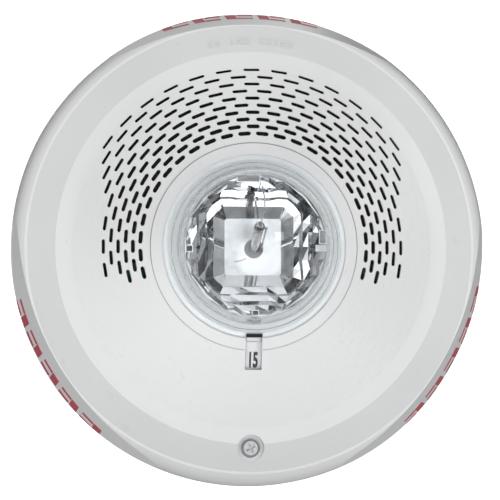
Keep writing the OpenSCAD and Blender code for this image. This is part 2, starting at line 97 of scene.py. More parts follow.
def polar(r, angle, z):
    """A point at radius r, angle degrees clockwise from the top as seen from the front."""
    a = math.radians(angle)
    return wall(r * math.sin(a), r * math.cos(a), z)


def field_height(r):
    """Height at radius r of the slotted field, which rises towards the lens."""
    return FIELD_Z + (FIELD_R - r) * FIELD_SLOPE


def shoulder_height(r):
    """Height at radius r of the cone between the lip and the shoulder's inner edge."""
    return SHOULDER_Z - (r - SHOULDER_R) * (SHOULDER_Z - LIP_Z) / (LIP_R - SHOULDER_R)


# ---------------------------------------------------------------- materials

NOISE_RANGE = (0.3, 0.7)


def new_material(name):
    """An empty node material with one principled shader."""
    mat = bpy.data.materials.new(name)
    mat.use_nodes = True
    tree = mat.node_tree
    tree.nodes.clear()
    out = tree.nodes.new("ShaderNodeOutputMaterial")
    shader = tree.nodes.new("ShaderNodeBsdfPrincipled")
    tree.links.new(shader.outputs["BSDF"], out.inputs["Surface"])
    return mat, tree, shader, out


def add_node(tree, kind, values=None):
    """A node of a kind, with the given inputs set, each by its name or number."""
    node = tree.nodes.new(kind)
    for name, value in (values or {}).items():
        node.inputs[name].default_value = value
    return node


def object_coordinates(tree):
    return add_node(tree, "ShaderNodeTexCoord").outputs["Object"]


def noise(tree, scale, detail=4.0, rough=0.6):
    """Noise in object coordinates, so it stays on the part as the part moves."""
    node = add_node(tree, "ShaderNodeTexNoise", {"Scale": scale, "Detail": detail, "Roughness": rough})
    tree.links.new(object_coordinates(tree), node.inputs["Vector"])
    return node.outputs["Fac"]


def ramp(tree, source, low, high):
    """Colour that goes from low to high over the middle of a noise's range."""
    node = tree.nodes.new("ShaderNodeValToRGB")
    for stop, place, color in zip(node.color_ramp.elements, NOISE_RANGE, (low, high)):
        stop.position = place
        stop.color = (*color, 1)
    tree.links.new(source, node.inputs["Fac"])
    return node.outputs["Color"]


def spread(tree, source, start, end, low, high):
    """Value that goes from low to high as the source goes from start to end."""
    node = add_node(tree, "ShaderNodeMapRange",
                    {"From Min": start, "From Max": end, "To Min": low, "To Max": high})
    tree.links.new(source, node.inputs["Value"])
    return node


def grain(tree, shader, scale, strength, distance):
    """Fine moulded or cast grain, as a bump."""
    bump = add_node(tree, "ShaderNodeBump", {"Strength": strength, "Distance": distance})
    tree.links.new(noise(tree, scale, 3.0, 0.55), bump.inputs["Height"])
    tree.links.new(bump.outputs["Normal"], shader.inputs["Normal"])


def uneven_gloss(tree, shader, source, low, high):
    """Roughness that drifts between low and high with a noise."""
    gloss = spread(tree, source, *NOISE_RANGE, low, high)
    tree.links.new(gloss.outputs["Result"], shader.inputs["Roughness"])


def tint(color, factor):
    """The colour made lighter or darker by a factor."""
    return tuple(min(1.0, c * factor) for c in color)


def moulded(name, color, rough, grain_scale=2600.0, bump=0.12, variation=0.03, coat=0.0):
    """Moulded plastic: slight colour drift, uneven gloss and a fine grain."""
    mat, tree, shader, _ = new_material(name)
    color = ramp(tree, noise(tree, 30.0, 3.0), tint(color, 1 - variation), tint(color, 1 + variation))
    tree.links.new(color, shader.inputs["Base Color"])
    uneven_gloss(tree, shader, noise(tree, 160.0), rough * 0.9, rough * 1.12)
    shader.inputs["Coat Weight"].default_value = coat
    shader.inputs["Coat Roughness"].default_value = 0.25
    grain(tree, shader, grain_scale, bump, 0.0001)
    return mat


def metal(name, color, rough, scratch=900.0, bump=0.08):
    """Bare or plated metal: colour drift, fine streaks in the gloss and a light grain."""
    mat, tree, shader, _ = new_material(name)
    color = ramp(tree, noise(tree, 120.0), tint(color, 0.92), tint(color, 1.06))
    tree.links.new(color, shader.inputs["Base Color"])
    shader.inputs["Metallic"].default_value = 1.0
    uneven_gloss(tree, shader, noise(tree, scratch, 5.0), rough * 0.75, rough * 1.3)
    grain(tree, shader, scratch * 2, bump, 0.00005)
    return mat


def bright_chrome():
    """Mirror-bright facets, with the flat square floor a little satin."""
    mat, tree, shader, _ = new_material("reflector_chrome")
    color = ramp(tree, noise(tree, 200.0, 3.0), (0.62, 0.63, 0.65), (0.72, 0.73, 0.745))
    tree.links.new(color, shader.inputs["Base Color"])
    shader.inputs["Metallic"].default_value = 1.0
    depth = tree.nodes.new("ShaderNodeSeparateXYZ")
    tree.links.new(object_coordinates(tree), depth.inputs["Vector"])
    edge_y, fade = -(BOWL_FLOOR_Z + FLOOR_DISH) * MM, 0.05 * MM
    mirror, satin = 0.03, 0.27
    rough = spread(tree, depth.outputs["Y"], edge_y - fade, edge_y + fade, mirror, satin)
    tree.links.new(rough.outputs["Result"], shader.inputs["Roughness"])
    grain(tree, shader, 350.0, 0.02, 0.00005)
    return mat


def clear_plastic(name, color, rough=0.02, ior=1.49):
    """Clear moulded plastic. Rays from lamps pass straight through, so what is inside is lit."""
    mat, tree, shader, out = new_material(name)
    shader.inputs["Base Color"].default_value = (*color, 1)
    shader.inputs["Transmission Weight"].default_value = 1.0
    shader.inputs["IOR"].default_value = ior
    uneven_gloss(tree, shader, noise(tree, 90.0, 3.0), rough * 0.5, rough * 1.5)
    through = add_node(tree, "ShaderNodeBsdfTransparent", {"Color": (*color, 1)})
    path = tree.nodes.new("ShaderNodeLightPath")
    mix = tree.nodes.new("ShaderNodeMixShader")
    tree.links.new(path.outputs["Is Shadow Ray"], mix.inputs["Fac"])
    tree.links.new(shader.outputs["BSDF"], mix.inputs[1])
    tree.links.new(through.outputs["BSDF"], mix.inputs[2])
    tree.links.new(mix.outputs["Shader"], out.inputs["Surface"])
    return mat


def circuit_board():
    """Green solder mask with paler tracks."""
    mat, tree, shader, _ = new_material("board_mask")
    mask, mask_2, track = (0.012, 0.13, 0.055, 1), (0.016, 0.16, 0.07, 1), (0.05, 0.3, 0.14, 1)
    tracks = add_node(tree, "ShaderNodeTexBrick", {"Scale": 90.0, "Mortar Size": 0.06, "Color1": mask,
                                                   "Color2": mask_2, "Mortar": track})
    turn = add_node(tree, "ShaderNodeMapping", {"Rotation": (math.radians(90), 0, 0)})
    tree.links.new(object_coordinates(tree), turn.inputs["Vector"])
    tree.links.new(turn.outputs["Vector"], tracks.inputs["Vector"])
    tree.links.new(tracks.outputs["Color"], shader.inputs["Base Color"])
    shader.inputs["Roughness"].default_value = 0.3
    grain(tree, shader, 1500.0, 0.1, 0.00005)
    return mat


def woven_mesh():
    """Black dust mesh: a fine weave of threads."""
    mat, tree, shader, _ = new_material("dust_mesh")
    gap, thread = (0.004, 0.004, 0.004, 1), (0.012, 0.012, 0.013, 1)
    weave = add_node(tree, "ShaderNodeTexChecker", {"Scale": 5000.0, "Color1": gap, "Color2": thread})
    tree.links.new(object_coordinates(tree), weave.inputs["Vector"])
    tree.links.new(weave.outputs["Color"], shader.inputs["Base Color"])
    shader.inputs["Roughness"].default_value = 0.9
    grain(tree, shader, 4000.0, 0.3, 0.0001)
    return mat


WHITE = (0.79, 0.795, 0.80)
MATERIALS = {
    "cover_plastic": moulded("cover_plastic", WHITE, 0.3, 2400.0, 0.08, 0.012, 0.35),
    "clear_lens": clear_plastic("clear_lens", (0.955, 0.972, 0.98)),
    "reflector_chrome": bright_chrome(),
    "tube_glass": clear_plastic("tube_glass", (0.66, 0.66, 0.66), 0.03, 1.47),
    "black_plastic": moulded("black_plastic", (0.018, 0.018, 0.02), 0.5),
    "printed_black": moulded("printed_black", (0.01, 0.01, 0.011), 0.75),
    "label_film": clear_plastic("label_film", (0.97, 0.98, 0.985), 0.01, 1.22),
    "black_mesh": woven_mesh(),
    "white_plastic": moulded("white_plastic", (0.74, 0.745, 0.74), 0.5, 2000.0, 0.18, 0.02),
    "board_green": circuit_board(),
    "brass": metal("brass", (0.80, 0.58, 0.26), 0.25),
    "steel": metal("steel", (0.72, 0.74, 0.77), 0.26),
    "zinc": metal("zinc", (0.52, 0.53, 0.54), 0.5, 900.0, 0.05),
    "tungsten": metal("tungsten", (0.30, 0.30, 0.31), 0.38),
    "signal_red": moulded("signal_red", (0.53, 0.075, 0.105), 0.45, 2400.0, 0.1, 0.05),
    "ferrite": moulded("ferrite", (0.09, 0.09, 0.10), 0.6, 1800.0, 0.3, 0.1),
    "copper": metal("copper", (0.70, 0.33, 0.16), 0.3),
    "label_grey": moulded("label_grey", (0.72, 0.73, 0.74), 0.5, 2000.0, 0.08, 0.02),
    "selector_orange": moulded("selector_orange", (0.80, 0.27, 0.04), 0.45),
    "capacitor_sleeve": moulded("capacitor_sleeve", (0.02, 0.035, 0.13), 0.3, 1200.0, 0.1, 0.08, 0.4),
    "chip_black": moulded("chip_black", (0.03, 0.03, 0.032), 0.6, 3000.0, 0.25, 0.1),
}

# Degrees between two faces above which their edge stays crisp
SMOOTH_ANGLE = 24
SMOOTH_ANGLE_OF_NODE = {"front_cover": 12}
# Nodes with a finish of their own in place of their slot's
FINISH_OF_NODE = {"captive_screw": "zinc"}
SAME_PLACE, SLIVER_AREA = 1e-6, 1e-13


def read(items, name, width=1, kind=np.float64):
    """A mesh attribute of all items as an array, one row an item."""
    values = np.empty(len(items) * width, dtype=kind)
    items.foreach_get(name, values)
    return values.reshape(-1, width) if width > 1 else values


def mark_sharp_edges(mesh, angle):
    """Sharp flags by angle, also along seams where the faces' corners lie together but are not joined."""
    places = np.round(read(mesh.vertices, "co", 3) / SAME_PLACE).astype(np.int64)
    _, place = np.unique(places, axis=0, return_inverse=True)
    ends = np.sort(place.reshape(-1)[read(mesh.edges, "vertices", 2, np.int32)], axis=1)
    _, line = np.unique(ends, axis=0, return_inverse=True)
    line = line.reshape(-1)
    face = np.repeat(np.arange(len(mesh.polygons)), read(mesh.polygons, "loop_total", 1, np.int32))
    normals = read(mesh.polygons, "normal", 3)[face]
    side = line[read(mesh.loops, "edge_index", 1, np.int32)]
    real = read(mesh.polygons, "area")[face] > SLIVER_AREA
    side, normals = side[real], normals[real]
    used, first, group = np.unique(side, return_index=True, return_inverse=True)
    group = group.reshape(-1)
    least = np.ones(len(used))
    np.minimum.at(least, group, np.sum(normals[first][group] * normals, axis=1))
    bent = np.zeros(line.max() + 1, dtype=bool)
    bent[used] = least < math.cos(math.radians(angle))
    flags = mesh.attributes.get("sharp_edge") or mesh.attributes.new("sharp_edge", "BOOLEAN", "EDGE")
    flags.data.foreach_set("value", bent[line])


def paint(obj, finish, smooth=True):
    """A material on the whole object, with its curved faces smooth."""
    obj.data.materials.clear()
    obj.data.materials.append(MATERIALS[finish])
    if smooth:
        obj.data.shade_smooth()
        mark_sharp_edges(obj.data, SMOOTH_ANGLE_OF_NODE.get(obj.name, SMOOTH_ANGLE))


def paint_cad_nodes():
    """Every CAD node gets its slot's material and smooth curved faces."""
    for sub in frame["record"]["subparts"]:
        obj = frame["nodes"][sub["node"]]
        weld = obj.modifiers.new("weld", "WELD")
        weld.merge_threshold = SAME_PLACE
        paint(obj, FINISH_OF_NODE.get(sub["node"], sub["material_slot"]))


# ---------------------------------------------------------------- mesh tools

def add_object(name, data):
    obj = bpy.data.objects.new(name, data)
    bpy.context.scene.collection.objects.link(obj)
    return obj


def add_piece(name, verts, faces, body, slot_name, smooth=True, finish=None):
    """A named piece that rides on a body, in its slot's material or in a finish of its own."""
    mesh = bpy.data.meshes.new(name)
    mesh.from_pydata([tuple(v) for v in verts], [], faces)
    bm = bmesh.new()
    bm.from_mesh(mesh)
    bmesh.ops.remove_doubles(bm, verts=bm.verts, dist=1e-7)
    bmesh.ops.recalc_face_normals(bm, faces=bm.faces)
    bm.to_mesh(mesh)
    bm.free()
    obj = add_object(name, mesh)
    paint(obj, finish or slot_name, smooth)
    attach(obj, body)
    return obj


def join_rings(rings, closed=False):
    """Verts and quads that join rings of equal length, each closed on itself."""
    count = len(rings[0])
    verts = [p for ring in rings for p in ring]
    faces = []
    spans = len(rings) if closed else len(rings) - 1
    for j in range(spans):
        k = (j + 1) % len(rings)
        for i in range(count):
            n = (i + 1) % count
            faces.append((j * count + i, j * count + n, k * count + n, k * count + i))
    return verts, faces


def lathe(profile, steps):
    """Closed outline (r, z) in mm turned about the lens axis."""
    rings = [[polar(r, 360 * i / steps, z) for i in range(steps)] for r, z in profile]
    return join_rings(rings, closed=True)


def arc(r, cz, start, end, steps):
    """Points (r, z) on a circle about (0, cz), from start to end degrees above the horizontal."""
    turns = [start + (end - start) * i / steps for i in range(steps + 1)]
    return [(r * math.cos(math.radians(t)), cz + r * math.sin(math.radians(t))) for t in turns]


def slab(corner_grid, thickness_dir):
    """A thin closed plate over a grid of points, thickened along thickness_dir(point)."""
    rows, cols = len(corner_grid), len(corner_grid[0])
    top = [p for row in corner_grid for p in row]
    low = [p - thickness_dir(p) for p in top]
    verts, faces, n = top + low, [], rows * cols
    for i in range(rows - 1):
        for j in range(cols - 1):
            a, b, c, d = i * cols + j, i * cols + j + 1, (i + 1) * cols + j + 1, (i + 1) * cols + j
            faces.append((a, b, c, d))
            faces.append((n + d, n + c, n + b, n + a))
    edge = [(0, j) for j in range(cols)]
    edge += [(i, cols - 1) for i in range(1, rows)]
    edge += [(rows - 1, j) for j in range(cols - 2, -1, -1)]
    edge += [(i, 0) for i in range(rows - 2, 0, -1)]
    ids = [i * cols + j for i, j in edge]
    for a, b in zip(ids, ids[1:] + ids[:1]):
        faces.append((a, n + a, n + b, b))
    return verts, faces


def block(x0, x1, y0, y1, z0, z1):
    """A box in wall coordinates, in mm."""
    grid = [[wall(x, y, z1) for x in (x0, x1)] for y in (y0, y1)]
    return slab(grid, lambda p: Vector((0, -(z1 - z0) * MM, 0)))


def gather(parts):
    """One vert and face list from several."""
    verts, faces = [], []
    for v, f in parts:
        base = len(verts)
        verts += v
        faces += [tuple(i + base for i in face) for face in f]
    return verts, faces


def tube(points, radius, sides=12):
    """A round tube with closed ends along points, in mm wall coordinates."""
    pts = [wall(*p) for p in points]
    rings = []
    for i, p in enumerate(pts):
        ahead = pts[min(i + 1, len(pts) - 1)] - pts[max(i - 1, 0)]
        turn = ahead.to_track_quat("Z", "Y")
        ring = []
        for k in range(sides):
            a = 2 * math.pi * k / sides
            ring.append(p + turn @ Vector((math.cos(a), math.sin(a), 0)) * radius * MM)
        rings.append(ring)
    verts, faces = join_rings(rings)
    faces.append(tuple(range(sides))[::-1])
    faces.append(tuple(range(len(verts) - sides, len(verts))))
    return verts, faces


# ---------------------------------------------------------------- lens

def make_lens():
    """Clear dome on a sloping flange that rests on the cover's seat, as one closed shell."""
    dome_z = TOTAL_Z - DOME_R
    inner_r = DOME_R - LENS_WALL
    seat_in, seat_out = field_height(OPENING_R) - SEAT_DROP, field_height(FLANGE_R) - SEAT_DROP
    outline = [(OPENING_R, seat_in + 0.4), (OPENING_R + 0.1, seat_in), (FLANGE_R - 0.15, seat_out)]
    outline += [(FLANGE_R, seat_out + 0.15), (FLANGE_R, FLANGE_Z + 1.3), (FLANGE_R - 0.1, FLANGE_Z + 1.5)]
    outline += [(FLANGE_R - 0.3, FLANGE_Z + 1.65), (31.5, FLANGE_Z + 2.2), (31.3, FLANGE_Z + 2.6)]
    outline += [(DOME_R + 1.3, FLANGE_Z + 5.35), (DOME_R + 0.6, FLANGE_Z + 5.8)]
    outline += [(DOME_R + 0.15, FLANGE_Z + 6.4), (DOME_R, FLANGE_Z + 7.2)]
    outline += arc(DOME_R, dome_z, 0, 89.9, 40)
    outline += arc(inner_r, dome_z, 89.9, 0, 40)
    outline += [(inner_r, FLANGE_Z + 3.2), (inner_r + 0.5, FLANGE_Z + 2.3)]
    outline += [(OPENING_R - 0.2, FLANGE_Z + 2.0)]
    verts, faces = lathe(outline, 192)
    lens = add_piece("lens_dome", verts, faces, "head", "clear_lens")
    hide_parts("lens")


def make_label_tab():
    """Clear tab of the lens that closes the candela window."""
    clearance, sunk, corner_r, corner_in, thickness, steps = 0.2, 0.1, 1.0, 0.45, 1.2, 8
    near, far, full_half = FLANGE_R + 0.05, WINDOW_LOW_R - clearance, WINDOW_W / 2 - clearance
    rows = []
    for i in range(steps + 1):
        r = near + (far - near) * i / steps
        past = max(0.0, r - far + corner_r)
        half = full_half - corner_in * (1 - math.sqrt(max(0.0, 1 - (past / corner_r) ** 2)))
        z = field_height(r) - sunk
        rows.append([wall(x, -r, z) for x in (-half, -half / 2, 0, half / 2, half)])
    verts, faces = slab(rows, lambda p: Vector((0, -thickness * MM, 0)))
    add_piece("label_tab", verts, faces, "head", "clear_lens", finish="label_film")


# ---------------------------------------------------------------- reflector

def scatter(k):
    """A fixed value between -1 and 1 for each whole number."""
    return 2 * ((math.sin(k * 12.9898) * 43758.5453) % 1.0) - 1


def facet_ring(level, z, half, mid_half, corner, mid_w, uneven):
    """Corners of one level: on each side two wings at half and a middle at mid_half."""
    wing = (corner + mid_w) / 2
    diagonal = (half + corner) / 2 * (1 + 0.006 * level)
    side = [(half, -corner), (half, -wing), (mid_half, -mid_w), (mid_half, 0),
            (mid_half, mid_w), (half, wing), (half, corner), (diagonal, diagonal)]
    ring = []
    for turn in range(4):
        a = math.radians(90 * turn)
        for i, (x, y) in enumerate(side):
            k = (level * 4 + turn) * len(side) + i
            x += uneven * scatter(k)
            y += uneven * scatter(k + 500)
            ring.append((x * math.cos(a) - y * math.sin(a), x * math.sin(a) + y * math.cos(a),
                         z + 0.8 * uneven * scatter(k + 900)))
    return ring


def reflector_levels():
    """The bowl's levels from its floor outwards.

    Each has its height, the half widths at its wings, middle and corners, the middle's own half width
    and the unevenness.
    """
    floor_w, top_w = BOWL_FLOOR_W / 2, BOWL_TOP_W / 2
    return [
        (BOWL_FLOOR_Z + FLOOR_DISH, floor_w, floor_w, floor_w - 0.6, 4.4, 0.0),
        (BOWL_TOP_Z, top_w, top_w, top_w - 3.4, 4.6, 0.0),
        (BOWL_TOP_Z + 0.2, top_w + 0.3, top_w + 0.3, top_w - 3.3, 4.8, 0.05),
        (BOWL_TOP_Z + 1.0, 17.4, 16.8, 12.3, 5.2, 0.16),
        (BOWL_TOP_Z + 2.7, 18.1, 17.7, 12.6, 5.2, 0.16),
        (BOWL_TOP_Z + 3.5, 20.5, 19.9, 11.7, 5.0, 0.26),
        (BOWL_TOP_Z + 5.3, 21.3, 21.4, 10.7, 5.0, 0.2),
        (BOWL_TOP_Z + 6.2, 22.5, 23.6, 10.0, 4.8, 0.24),
        (RIM_INNER_Z, 23.5, 25.4, 10.3, 4.8, 0.1),
    ]


def make_reflector():
    """Chrome bowl: a square well in facetted steps inside a round rim."""
    levels = [facet_ring(k, *level) for k, level in enumerate(reflector_levels())]
    rings = [[wall(*p) for p in ring] for ring in levels]
    angles = [math.atan2(y, x) for x, y, _ in levels[-1]]
    outer_r = RIM_R - 0.5
    for z in (RIM_INNER_Z, BOWL_BACK_Z):
        rings.append([wall(outer_r * math.cos(a), outer_r * math.sin(a), z) for a in angles])
    rings.append([wall(x, y, BOWL_BACK_Z) for x, y, _ in levels[0]])
    verts, faces = join_rings(rings, closed=True)
    bowl = add_piece("reflector_bowl", verts, faces, "head", "reflector_chrome", smooth=False)
    bevel = bowl.modifiers.new("edges", "BEVEL")
    bevel.width, bevel.segments, bevel.angle_limit = 0.1 * MM, 2, math.radians(8)
    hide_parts("reflector")


def make_reflector_rim():
    """Round chrome wall outside the bowl, with a rounded upper edge."""
    outline = [(RIM_R - 0.9, RIM_INNER_Z - 0.6), (RIM_R - 0.7, RIM_INNER_Z + 0.1), (RIM_R - 0.3, RIM_TOP)]
    outline += [(RIM_R, RIM_INNER_Z), (RIM_R, BOWL_BACK_Z), (RIM_R - 0.9, BOWL_BACK_Z)]
    verts, faces = lathe(outline, TURN_STEPS)
    add_piece("reflector_rim", verts, faces, "head", "reflector_chrome")


def make_reflector_floor():
    """The bowl's square floor, very slightly dished, with the round hole for the tube."""
    half, thickness, steps, sides = BOWL_FLOOR_W / 2 - 0.02, 0.8, 14, 96

    def floor_ring(t, drop):
        """Points from the round hole, at t 0, to the square edge, at t 1, and drop below the face."""
        ring = []
        for k in range(sides):
            a = 2 * math.pi * (k + 0.5) / sides
            edge = half / max(abs(math.cos(a)), abs(math.sin(a)))
            x = (1 - t) * (TUBE_BASE.x + FLOOR_HOLE_R * math.cos(a)) + t * edge * math.cos(a)
            y = (1 - t) * (TUBE_BASE.y + FLOOR_HOLE_R * math.sin(a)) + t * edge * math.sin(a)
            z = BOWL_FLOOR_Z + FLOOR_DISH * (x * x + y * y) / (half * half * 2) - drop
            ring.append(wall(x, y, z))
        return ring

    rings = [floor_ring(i / steps, 0.0) for i in range(steps + 1)]
    rings += [floor_ring(i / steps, thickness) for i in range(steps, -1, -1)]
    verts, faces = join_rings(rings, closed=True)
    add_piece("reflector_floor", verts, faces, "head", "reflector_chrome")


def make_lens_gasket():
    """White ring that fills the gap between the reflector's rim and the cover's seat."""
    low, high = BOWL_FLOOR_Z + 1.0, FLANGE_Z + 1.85
    outline = [(RIM_R + 0.1, low), (RIM_R + 0.1, high + 0.1), (RIM_R + 0.4, high + 0.2), (DISH_R, high)]
    outline += [(DISH_R + 0.35, high - 0.3), (DISH_R + 0.35, low)]
    verts, faces = lathe(outline, TURN_STEPS)
    add_piece("lens_gasket", verts, faces, "head", "cover_plastic")


# ---------------------------------------------------------------- printed and raised marks

def pad_point(pad_angle, phi, z, lift):
    """A point on a flank pad: phi degrees round the pad's own cone, z up it, lift off it, in mm."""
    r = PAD_R - PAD_TILT * (z - RIM_Z) + lift
    a = math.radians(phi)
    x, y = r * math.sin(a), COVER_R - PAD_BITE - PAD_R + r * math.cos(a)
    return polar(min(math.hypot(x, y), COVER_R + lift), math.degrees(math.atan2(x, y)) + pad_angle, z)


def pad_mark(pad_angle, start, end, low, high, lean):
    """A thin printed patch on a pad, from start to end degrees, leaning as it rises."""
    steps, proud, thickness = 4, 0.05, 0.08
    grid = []
    for i in range(steps + 1):
        t = i / steps
        z = low + (high - low) * t
        grid.append([pad_point(pad_angle, start + (end - start) * j / steps + lean * t, z, proud)
                     for j in range(steps + 1)])
    return slab(grid, lambda p: Vector((p.x, 0, p.z)).normalized() * thickness * MM)


def make_pad_marks():
    """Plain red marks in place of lettering: on each pad five groups of a block and two bars."""
    parts = []
    groups, span, start = 5, 34.0, -18.3
    low, high, bar_height = 2.7, 6.9, 1.2
    block_end, bar_start, bar_end = 2.2, 2.6, 5.8
    for pad_angle in PAD_ANGLES:
        for g in range(groups):
            a = start + g * span / groups
            parts.append(pad_mark(pad_angle, a, a + block_end, low, high, 0.4))
            for foot in (low, high - bar_height):
                parts.append(pad_mark(pad_angle, a + bar_start, a + bar_end, foot, foot + bar_height, 0.1))
    verts, faces = gather(parts)
    add_piece("pad_marks", verts, faces, "head", "signal_red", smooth=False)


def make_raised_marks():
    """A row of small raised bars on the shoulder at the top, in place of moulded words."""
    parts = []
    widths = (1.6, 1.6, 0, 1.0, 1.6, 2.2, 0, 1.6, 1.6, 1.0, 2.2, 1.6)
    step, mid_r, row_gap, half_bar, proud = 2.05, 75.2, 0.95, 0.28, 0.4
    for k, width in enumerate(widths):
        if not width:
            continue
        centre = step * (k - (len(widths) - 1) / 2)
        half = math.degrees(width / 2 / mid_r)
        for row in (-1, 0, 1):
            r_row = mid_r + row * row_gap
            grid = [[polar(r, centre + a, shoulder_height(r) + proud) for a in (-half, 0, half)]
                    for r in (r_row - half_bar, r_row + half_bar)]
            parts.append(slab(grid, lambda p: Vector((0, -2 * proud * MM, 0))))
    verts, faces = gather(parts)
    add_piece("raised_marks", verts, faces, "head", "cover_plastic", smooth=False)


def make_candela_digits():
    """The numbers of the candela scale on the label carrier, each upright in the window in its turn."""
    above_dial = 0.04
    for k, number in enumerate(CANDELA_NUMBERS):
        curve = bpy.data.curves.new(f"digits_{number}", "FONT")
        curve.body = str(number)
        curve.size = DIGIT_SIZE * MM
        curve.align_x = "CENTER"
        curve.offset = DIGIT_BOLD * MM
        curve.extrude = above_dial / 2 * MM
        text = add_object(f"digits_{number}", curve)
        bpy.context.view_layer.update()
        mesh = bpy.data.meshes.new_from_object(text.evaluated_get(bpy.context.evaluated_depsgraph_get()))
        bpy.data.objects.remove(text)
        narrow = TWO_DIGIT_WIDTH if number < 100 else THREE_DIGIT_WIDTH
        angle = math.radians(180 + k * CANDELA_STEP)
        for v in mesh.vertices:
            across, r = -v.co.x * narrow / MM, DIGIT_BASE_R - v.co.y / MM
            v.co = wall(across * math.cos(angle) + r * math.sin(angle),
                        -across * math.sin(angle) + r * math.cos(angle),
                        DIAL_TOP_Z - math.hypot(r, across) * DIAL_SLOPE + above_dial + v.co.z / MM)
        piece = add_object(f"candela_number_{number}", mesh)
        paint(piece, "printed_black", smooth=False)
        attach(piece, "candela_selector")


def make_label_bar():
    """Painted shade: a black bar across the top of the candela window, laid on the flange's edge where the
    shaded gap between the flange and the tab shows.
    """
    w = WINDOW_W / 2 - 0.1
    edge = ((31.75, FLANGE_Z + 2.16), (32.75, FLANGE_Z + 1.75), (33.0, FLANGE_Z + 1.56))
    grid = [[wall(x, -r, z) for x in (-w, -w / 3, w / 3, w)] for r, z in edge]
    verts, faces = slab(grid, lambda p: Vector((0, -0.2 * MM, 0)))
    # The black finish here is painted shade of the gap under the flange, not print
    add_piece("window_gap_shade", verts, faces, "head", "black_plastic", smooth=False, finish="printed_black")


def make_label_backing():
    """Light strip between the label carrier's inner edge and the lens seat."""
    w = WINDOW_W / 2 - 0.1
    grid = [[wall(x, -r, DIAL_TOP_Z - r * DIAL_SLOPE) for x in (-w, 0, w)] for r in (31.95, 34.2)]
    verts, faces = slab(grid, lambda p: Vector((0, -0.5 * MM, 0)))
    add_piece("label_backing", verts, faces, "head", "label_grey", smooth=False)


def make_collar_line():
    """Painted shade: a dark hairline ring where the collar's step meets the slotted field, broken by the
    candela window.
    """
    half_w, gap, proud, thickness, steps = 0.045, 5.2, 0.32, 0.35, 180
    angles = [180 + gap + (360 - 2 * gap) * k / steps for k in range(steps + 1)]
    grid = [[polar(r, angle, field_height(r) + proud) for angle in angles]
            for r in (COLLAR_STEP_SHADE_R - half_w, COLLAR_STEP_SHADE_R + half_w)]
    verts, faces = slab(grid, lambda p: Vector((0, -thickness * MM, 0)))
    # A dark tungsten ring, painted where the step's shade falls
    add_piece("collar_step_shade", verts, faces, "head", "tungsten", smooth=False)


def make_reflector_clips():
    """Small latch windows on the four sides of the bowl, each a dark block in a bright frame: a latch at
    the left, low and right, and at the top a block of painted shade where the shade under the top clip
    falls.
    """
    z0, z1 = RIM_TOP - 1.8, RIM_TOP - 0.2
    frame_z, edge, play = z1 + 0.4, 0.3, 0.05
    # Side, centre across and up, width, height and the latch's slot
    clips = (("left", -24.1, -1.1, 2.0, 2.0, "black_plastic"),
             ("low", -0.1, -24.3, 1.9, 1.5, "black_plastic"),
             ("right", 24.7, 3.3, 2.4, 4.6, "tungsten"),
             # The high one's tungsten block is painted shade under the top clip
             ("high", -2.7, 24.6, 8.0, 2.4, "tungsten"))
    for name, x, y, width, height, slot_name in clips:
        left, right, low, high = x - width / 2, x + width / 2, y - height / 2, y + height / 2
        verts, faces = gather([
            block(left - edge, right + edge, high, high + edge, z0, frame_z),
            block(left - edge, right + edge, low - edge, low, z0, frame_z),
            block(left - edge, left, low, high, z0, frame_z),
            block(right, right + edge, low, high, z0, frame_z)])
        add_piece(f"clip_frame_{name}", verts, faces, "head", "reflector_chrome", smooth=False)
        verts, faces = block(left + play, right - play, low + play, high - play, z0, z1)
        add_piece(f"clip_latch_{name}", verts, faces, "head", slot_name, smooth=False)
    verts, faces = block(21.9, 26.1, -2.0, 0.4, z0, z1 + 0.6)
    add_piece("clip_tongue", verts, faces, "head", "cover_plastic", smooth=False)


# ---------------------------------------------------------------- flash tube details

def make_tube_end():
    """Dark band round the closed end of the flash tube."""
    axis = (TUBE_TIP - TUBE_BASE).normalized()
    across = axis.cross(Vector((0, 1, 0))).normalized()
    up = axis.cross(across)
    sides, rings = 48, []
    profile = ((-1.6, 1.69), (-1.6, 1.95), (-0.2, 1.9), (0.35, 1.6), (0.35, 1.0), (0.2, 1.0), (-0.2, 1.69))
    for along, r in profile:
        centre = TUBE_TIP + axis * along
        turns = [2 * math.pi * k / sides for k in range(sides)]
        rings.append([wall(*(centre + across * (r * math.cos(a)) + up * (r * math.sin(a)))) for a in turns])
    verts, faces = join_rings(rings, closed=True)
    add_piece("tube_band", verts, faces, "head", "tungsten")


def make_trigger_lead():
    """Fine wire that bows from the tube's tip up to the reflector's upper edge."""
    top, bow, steps = Vector((2.4, 21.6, 34.9)), 1.2, 14
    points = []
    for i in range(steps + 1):
        p = TUBE_TIP.lerp(top, i / steps)
        out = bow * math.sin(math.pi * i / steps)
        points.append((p.x + out, p.y, p.z + out))
    verts, faces = tube(points, 0.24, 10)
    add_piece("trigger_lead", verts, faces, "head", "steel")


def make_floor_lead():
    """Thin wire on the bowl's floor, from the tube's foot outwards."""
    z = BOWL_FLOOR_Z + 0.25
    verts, faces = tube([(-2.4, -4.2, z), (-3.6, -4.8, z), (-5.2, -5.2, z), (-6.6, -5.3, z)], 0.16, 8)
    add_piece("floor_lead", verts, faces, "head", "tungsten")


# ---------------------------------------------------------------- stage, lights and camera

